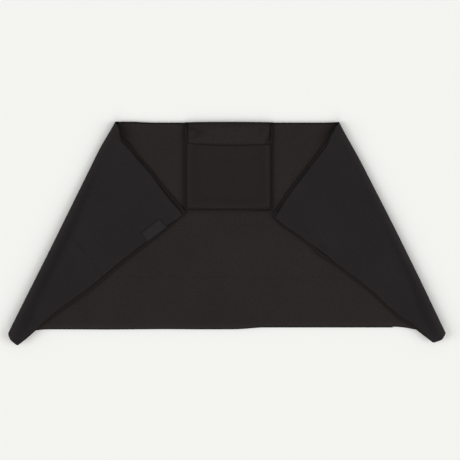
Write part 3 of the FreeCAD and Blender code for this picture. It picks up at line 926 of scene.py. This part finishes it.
def make_pocket_back():
    """The pocket's back: a welt at each side, full between them above the mouth, flat behind the front."""
    low, high = box_mm("pocket_back")
    half, bottom, top = high[0], low[1], high[1] + 0.8
    welt = half + box_mm("pocket_left_seam")[1][0]
    columns = graded(-half, half, 4.0, [-half + welt, -half + welt + 1, half - welt, half - welt - 1])
    x, y = np.meshgrid(columns, graded(bottom, top, 4.0), indexing="ij")
    from_side, from_top = half - np.abs(x), top - y
    above_mouth = smooth(y, pocket_mouth(x) - 6, pocket_mouth(x) + 14)
    at_top = pillow(from_top, 4.0)
    ridge = 1.5 * np.sqrt(np.clip(1 - ((from_side - welt / 2) / (welt / 2)) ** 2, 0, 1))
    swell = 2.1 * pillow(from_side - welt, 8)
    pulls = pocket_pulls(x, y)
    z = Plan.front_ply + 0.7 - 2.4 * (1 - at_top) + (ridge + swell - pulls) * above_mouth * at_top
    bow = np.where(x > 0, 4.6, 0.6) * above_mouth * smooth(np.abs(x), half - 22, half)
    points = np.stack([x + np.sign(x) * bow, y - 0.8 * (x / half) ** 2, z], axis=-1)
    # painted shade beside the welts, along the top edge, in the pulls and along the sewn-down edges below
    # the mouth
    welts = 0.38 * (1 - smooth(from_side, welt + 1, welt + 3.5)) + 0.12 * hump(from_side, welt + 1, 1.2)
    top_seam = 0.3 * (1 - smooth(from_top, 1.5, 4)) + 0.2 * (1 - smooth(from_top, 5, 10))
    sewn_down = 0.34 * np.clip(2 - smooth(from_side, 2.5, 4.5) - smooth(y - bottom, 2, 4), 0, 1)
    painted_shading = 1 - welts * above_mouth - top_seam - 0.2 * pulls - sewn_down * (1 - above_mouth)
    painted_shading = np.clip(painted_shading, 0.35, 1.2)
    back = sheet_piece("pocket_back_cloth", points, POCKET_CLOTH, finish("shell"), painted_shading=painted_shading)
    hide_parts("pocket_back", "pocket_left_seam", "pocket_right_seam")
    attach(back, "middle")


def make_pocket_front():
    """The pocket's front: seamed down round three sides, full in the middle, turned under at its mouth."""
    half, bottom = box_mm("pocket_back")[1][0], box_mm("pocket_back")[0][1]
    height = box_mm("pocket_front")[1][1] - bottom
    turned = box_mm("pocket_mouth_hem")[1][1] - box_mm("pocket_mouth_hem")[0][1] - 2.0
    step, lip, lip_radius, seam_drop, rest_height = 3.6, 1.8, 0.45, 28, 7.35
    rows = (
        graded(0, height, step)[:-1],
        height + np.linspace(0, lip, 4),
        height + lip + spaced(0, turned, 4.0)[1:],
    )
    x, run = np.meshgrid(graded(-half, half, step), np.concatenate(rows), indexing="ij")
    mouth = pocket_mouth(x)
    foot = bottom - 0.4 + 2.0 * (x / half) ** 2 + rounding(np.abs(x), half, 3.0)
    y = foot + (mouth - foot) * np.clip(run / height, 0, 1) - np.clip(run - height - lip, 0, None)
    from_side = half - np.abs(x)
    edge = nearest(from_side, np.where(run > height, 60, y - foot + 0.01))
    full = 1.9 * pillow(edge, 3.0) + 1.2 * smooth(edge, 2, 42)
    sway = 0.25 * ripple(x, y, 23, 30, 90) * smooth(edge, 4, 20)
    seam_groove = 0.35 * hump(y, mouth - seam_drop, 1.2) * smooth(edge, 8, 16) * (run < height)
    gape = 0.5 * hump(y, mouth, 9) * pillow(from_side, 6)
    round_over = np.clip((run - height) / lip, 0, 1) * math.pi
    z = rest_height + full + sway - seam_groove + gape - lip_radius * (1 - np.cos(round_over))
    y = y + lip_radius * np.sin(round_over)
    shift = np.where(x > 0, 0.4, 2.4) * smooth(np.abs(x), half - 30, half) * np.sign(-x)
    # painted shade along the seamed edges and under the mouth's lip, with painted light in a band just
    # inside the seamed edges
    pressed = nearest(from_side, y - foot + 0.01 + 60 * (run >= height))
    seam_shade = 0.42 * (1 - smooth(pressed, 0.8, 2.4)) + 0.09 * hump(pressed, 18, 9)
    painted_shading = 1.02 + 0.1 * hump(pressed, 5.5, 3) - seam_shade - 0.34 * hump(run, height + 0.6, 1.4)
    points = np.stack([x + shift, y, z], axis=-1)
    front = sheet_piece("pocket_front_cloth", points, POCKET_CLOTH, finish("pocket"), painted_shading=painted_shading)
    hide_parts("pocket_front", "pocket_mouth_hem", "pocket_bottom_seam")
    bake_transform(front)
    line = spaced(-half + 13, half - 17, 3.0)
    seam = np.stack([line, pocket_mouth(line) - seam_drop, 0 * line + 10.5], axis=-1)
    sew("pocket_mouth_stitches", seam, "pocket_panel", pitch=4.0, length=2.8)


# ------------------------------------------------------------------ zips and bindings


def make_zips():
    """Two zips: tapes, coils with real turns, and the stitches along the tapes."""
    seam_inset, thickness = 3.5, 0.3
    for zip_name, seam_drop in (("outer_zip", 0.72), ("inner_zip", 0.42)):
        for row in ("upper", "lower"):
            low, high = box_mm(f"{zip_name}_{row}_tape")
            x, y = np.meshgrid(spaced(low[0], high[0], 4.0), spaced(low[1], high[1], 1.0), indexing="ij")
            z = (low[2] + high[2]) / 2 + 0.06 * np.sin(x / 31.0) * hump(y, (low[1] + high[1]) / 2, 6)
            points = np.stack([x, y, z], axis=-1)
            tape = sheet_piece(f"{zip_name}_{row}_tape_cloth", points, thickness, finish("tape"))
            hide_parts(f"{zip_name}_{row}_tape")
            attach(tape, "middle")
            make_coil(zip_name, row)
            seam_y = high[1] - seam_inset if row == "upper" else low[1] + seam_inset
            seam = level_seam(low[0] + 2, high[0] - 2, seam_y, low[2] - seam_drop)
            sew(f"{zip_name}_{row}_stitches", seam, "middle", down=True)


def make_coil(zip_name, row):
    """One row of a zip: a nylon line wound in a flat coil."""
    low, high = box_mm(f"{zip_name}_{row}_coil")
    pitch, wire, steps, sides, reach = 2.0, 0.22, 10, 5, 0.28
    turns = int((high[0] - low[0]) / pitch)
    t = np.linspace(0, turns, turns * steps + 1)
    # the two rows reach into each other, and their turns alternate
    phase, toward = (0.0, -reach) if row == "upper" else (math.pi, reach)
    _, half_y, half_z = (high - low) / 2 - wire
    _, middle_y, middle_z = (low + high) / 2
    path_y = middle_y + toward + (half_y + reach) * np.cos(2 * math.pi * t + phase)
    path_z = middle_z + half_z * np.sin(2 * math.pi * t + phase)
    path = np.stack([low[0] + t * pitch, path_y, path_z], axis=-1)
    up = np.tile([1.0, 0.0, 0.0], (len(path), 1))
    vertices = thread(path, up, np.full(len(path), wire), sides)
    faces = tube_faces(len(path), sides)
    coil = new_object(f"{zip_name}_{row}_coil_turns", vertices, faces, finish("coil"))
    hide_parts(f"{zip_name}_{row}_coil")
    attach(coil, "middle")


def make_metal():
    """Enamel for the metal parts of the zips, whose CAD shapes stay."""
    for node in ("stops", "slider", "pull_tab"):
        for zip_name in ("outer_zip", "inner_zip"):
            part = frame["nodes"][f"{zip_name}_{node}"]
            part.data.materials.clear()
            part.data.materials.append(finish("metal"))


def make_bindings():
    """The tape folded round the raw edges inside the top and bottom seams, with its stitches."""
    seam_inset = 8
    for edge in ("top", "bottom"):
        low, high = box_mm(f"{edge}_seam_binding")
        _, middle_y, middle_z = (low + high) / 2
        _, half_y, half_z = (high - low) / 2
        turns = np.linspace(0, 2 * math.pi, 25)[:-1]
        x, turn = np.meshgrid(spaced(low[0], high[0], 4.0), turns, indexing="ij")
        squeeze = 1 - 0.08 * (1 + np.sin(x / 9.0)) * np.abs(np.sin(turn))
        y = middle_y + half_y * np.sign(np.cos(turn)) * np.abs(np.cos(turn)) ** 0.5
        z = middle_z + half_z * np.sign(np.sin(turn)) * np.abs(np.sin(turn)) ** 0.7 * squeeze
        points = np.stack([x, y, z], axis=-1).reshape(-1, 3)
        tape = new_object(f"{edge}_binding_tape", points, tube_faces(*x.shape), finish("binding"))
        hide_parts(f"{edge}_seam_binding")
        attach(tape, "middle")
        seam_y = high[1] - seam_inset if edge == "top" else low[1] + seam_inset
        seam = level_seam(low[0] + 3, high[0] - 3, seam_y, high[2] - 0.05)
        sew(f"{edge}_binding_stitches", seam, "middle")


# ------------------------------------------------------------------ stage


def make_stage():
    """A pale floor, soft light from both sides and the camera straight above."""
    matt = {"Roughness": 1.0, "Specular IOR Level": 0.0}
    material, _, _ = new_material("Painted studio floor", linear("#F4F4F1"), matt)
    floor_width, floor_drop = 14, 0.0003
    bpy.ops.mesh.primitive_plane_add(size=floor_width, location=(0, 0, -floor_drop))
    floor = bpy.context.object
    floor.name = "studio_floor"
    floor.data.materials.append(material)
    scene, air, softness = bpy.context.scene, 0.42, math.radians(38)
    world = bpy.data.worlds.new("Studio air")
    world.use_nodes = True
    background = world.node_tree.nodes["Background"]
    background.inputs["Color"].default_value = (1, 1, 1, 1)
    background.inputs["Strength"].default_value = air
    scene.world = world
    # each lamp's share of the light that falls on the floor; all of them and the air make 1
    for name, direction, share in (
        ("left_softbox", (-1.0, -0.12, 0.62), 0.21),
        ("right_softbox", (1.0, -0.12, 0.62), 0.21),
        ("low_softbox", (0.0, -1.0, 0.75), 0.16),
    ):
        lamp = bpy.data.lights.new(name, "SUN")
        lamp.angle = softness
        way = Vector(direction).normalized()
        lamp.energy = share * math.pi / way.z
        holder = bpy.data.objects.new(name, lamp)
        holder.location = way * 2.0
        holder.rotation_euler = way.to_track_quat("Z", "Y").to_euler()
        bpy.context.collection.objects.link(holder)
    camera = bpy.data.cameras.new("camera")
    camera.lens = 85
    camera.sensor_width = 36
    view_width, face_height, aim_x, aim_y = 0.92, 0.007, 0.004, 0.0072
    holder = bpy.data.objects.new("camera", camera)
    holder.location = (aim_x, aim_y, view_width * camera.lens / camera.sensor_width + face_height)
    bpy.context.collection.objects.link(holder)
    scene.camera = holder
    scene.view_settings.view_transform = "Standard"


# ------------------------------------------------------------------ add-on


def length_property(name, description, default):
    return FloatProperty(name=name, description=description, default=default, unit="LENGTH")


def colour_property(name, description, hex_colour):
    limits = {"size": 4, "subtype": "COLOR", "min": 0, "max": 1}
    return FloatVectorProperty(name=name, description=description, default=linear(hex_colour), **limits)


class BagSizes(bpy.types.PropertyGroup):
    """Sizes of the cloth and its detail."""

    cloth_step: length_property("Cloth step", "Spacing of the cloth mesh", 0.004)
    slot_width: length_property("Slot", "Width of the slot at a zip", 0.012)
    lining_inset: length_property("Lining inset", "How far the lining ends inside the shell", 0.008)


class BagColours(bpy.types.PropertyGroup):
    """Colours of the cloth and the trim."""

    shell: colour_property("Shell", "Cloth of the front", "#272322")
    shell_back: colour_property("Back", "Cloth of the back, which shows on the folded ends", "#232021")
    pocket: colour_property("Pocket", "Cloth of the pocket's front", "#221E1D")
    lining: colour_property("Lining", "Light-proof lining", "#1C1B1B")
    label: colour_property("Label", "Woven label", "#252323")
    trim: colour_property("Trim", "Zip tape, binding and elastic", "#1E1D1D")
    thread: colour_property("Thread", "Sewing thread", "#242221")
    coil: colour_property("Coil", "Zip coil", "#201F1F")
    metal: colour_property("Metal", "Zip slider and stops", "#232222")


class BAG_OT_stage(bpy.types.Operator):
    """Makes the floor, the lamps and the camera."""

    bl_idname = "bag.stage"
    bl_label = "Stage"

    def execute(self, context):
        make_stage()
        return {"FINISHED"}


class BAG_OT_shell(bpy.types.Operator):
    """Makes the outer cloth with its two folded ends."""

    bl_idname = "bag.shell"
    bl_label = "Shell"

    def execute(self, context):
        make_shell()
        return {"FINISHED"}


class BAG_OT_lining(bpy.types.Operator):
    """Makes the linings between the shells."""

    bl_idname = "bag.lining"
    bl_label = "Lining"

    def execute(self, context):
        make_lining()
        return {"FINISHED"}


class BAG_OT_ends(bpy.types.Operator):
    """Makes the hems of the open ends, the sleeves inside them and the label."""

    bl_idname = "bag.ends"
    bl_label = "Ends"

    def execute(self, context):
        make_hems()
        make_sleeves()
        make_label()
        return {"FINISHED"}


class BAG_OT_pocket(bpy.types.Operator):
    """Makes the patch pocket."""

    bl_idname = "bag.pocket"
    bl_label = "Pocket"

    def execute(self, context):
        make_pocket_back()
        make_pocket_front()
        return {"FINISHED"}


class BAG_OT_zips(bpy.types.Operator):
    """Makes the zips and the seam bindings."""

    bl_idname = "bag.zips"
    bl_label = "Zips and bindings"

    def execute(self, context):
        make_zips()
        make_metal()
        make_bindings()
        return {"FINISHED"}


OPERATORS = (BAG_OT_stage, BAG_OT_shell, BAG_OT_lining, BAG_OT_ends, BAG_OT_pocket, BAG_OT_zips)


class BAG_PT_sidebar(bpy.types.Panel):
    """Lists the bag's makers, sizes and colours."""

    bl_label = "Changing bag"
    bl_space_type = "VIEW_3D"
    bl_region_type = "UI"
    bl_category = "Bag"

    def draw(self, context):
        for group in (context.scene.bag_sizes, context.scene.bag_colours):
            for key in group.__annotations__:
                self.layout.prop(group, key)
        for operator in OPERATORS:
            self.layout.operator(operator.bl_idname)


CLASSES = (BagSizes, BagColours, *OPERATORS, BAG_PT_sidebar)


def register():
    for item in CLASSES:
        bpy.utils.register_class(item)
    bpy.types.Scene.bag_sizes = PointerProperty(type=BagSizes)
    bpy.types.Scene.bag_colours = PointerProperty(type=BagColours)


def unregister():
    del bpy.types.Scene.bag_sizes
    del bpy.types.Scene.bag_colours
    for item in reversed(CLASSES):
        bpy.utils.unregister_class(item)


def main():
    register()
    for operator in OPERATORS:
        section, name = operator.bl_idname.split(".")
        getattr(getattr(bpy.ops, section), name)()


if __name__ == "__main__":
    main()
